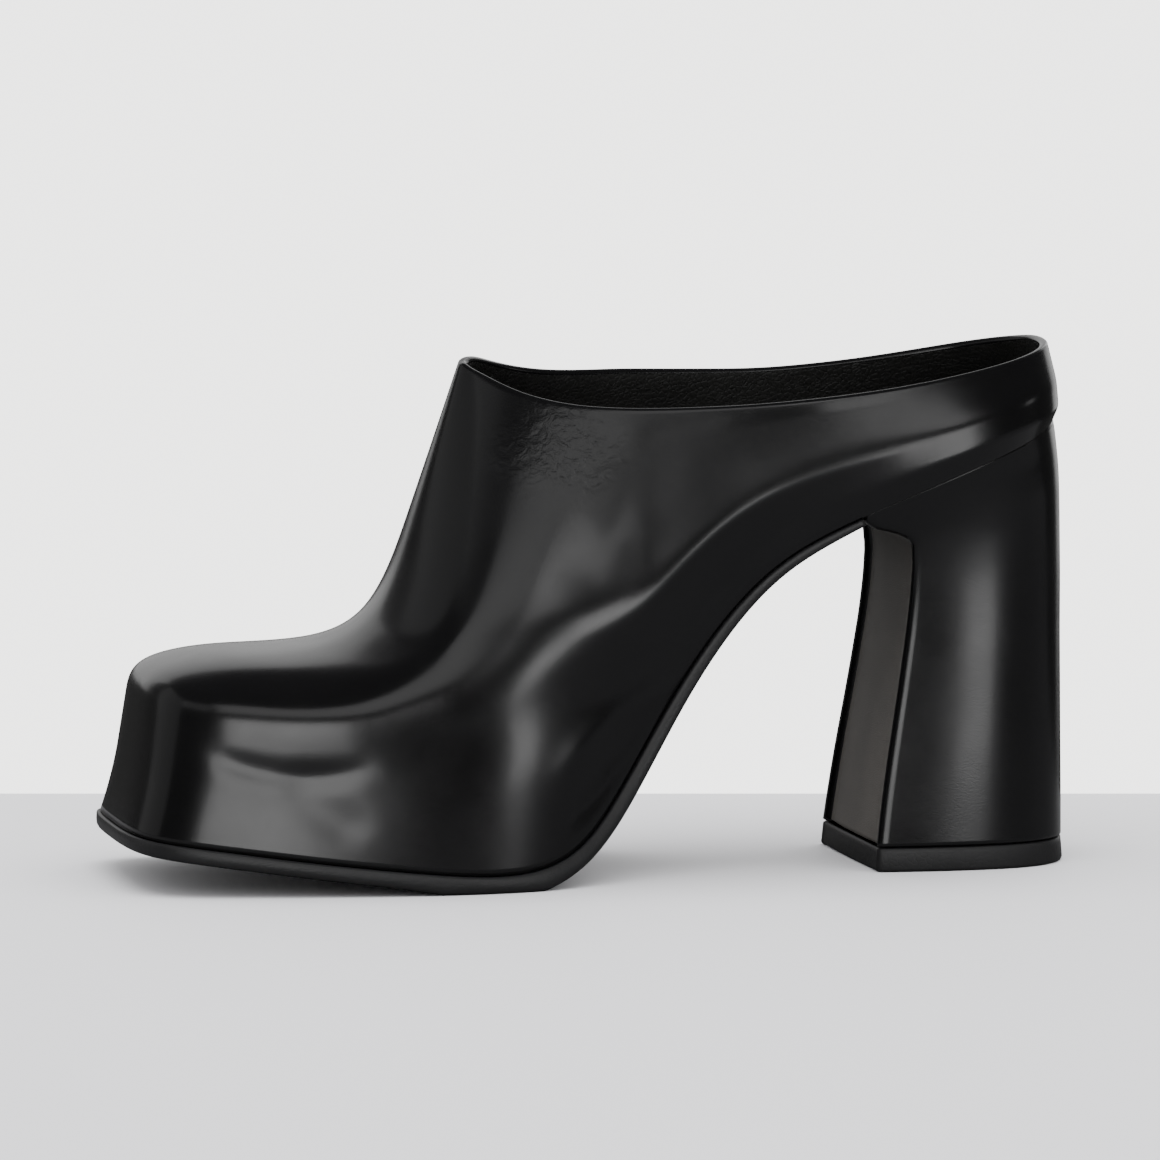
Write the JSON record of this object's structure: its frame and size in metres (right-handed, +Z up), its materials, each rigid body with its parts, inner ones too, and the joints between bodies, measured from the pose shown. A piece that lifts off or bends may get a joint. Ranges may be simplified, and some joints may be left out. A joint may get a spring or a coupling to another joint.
{
  "type": "platform mule",
  "caption": "Slip-on mule with a closed squared toe, a low wall round the heel, a wrapped platform sole and a high block heel, in smooth black leather.",
  "frame": {"origin": "middle of the shoe's footprint on the floor, at the centre of its bounding box's base", "axes": "+X towards the toe, +Y towards the outer side of the left foot, +Z up"},
  "size_m": [0.2406, 0.0894, 0.1289],
  "materials": {
    "black_leather": "smooth semi-gloss with a fine grain",
    "sock_leather": "matt pebbled lining leather",
    "wrapped_board": "matt foam block, hidden by the upper",
    "black_rubber": "satin",
    "heel_leather": "smooth semi-gloss",
    "lift_rubber": "matt"
  },
  "bodies": {
    "root": {"upper": "black_leather", "insole": "sock_leather", "platform": "wrapped_board", "outsole": "black_rubber", "heel": "heel_leather", "top_piece": "lift_rubber"}
  },
  "joints": []
}
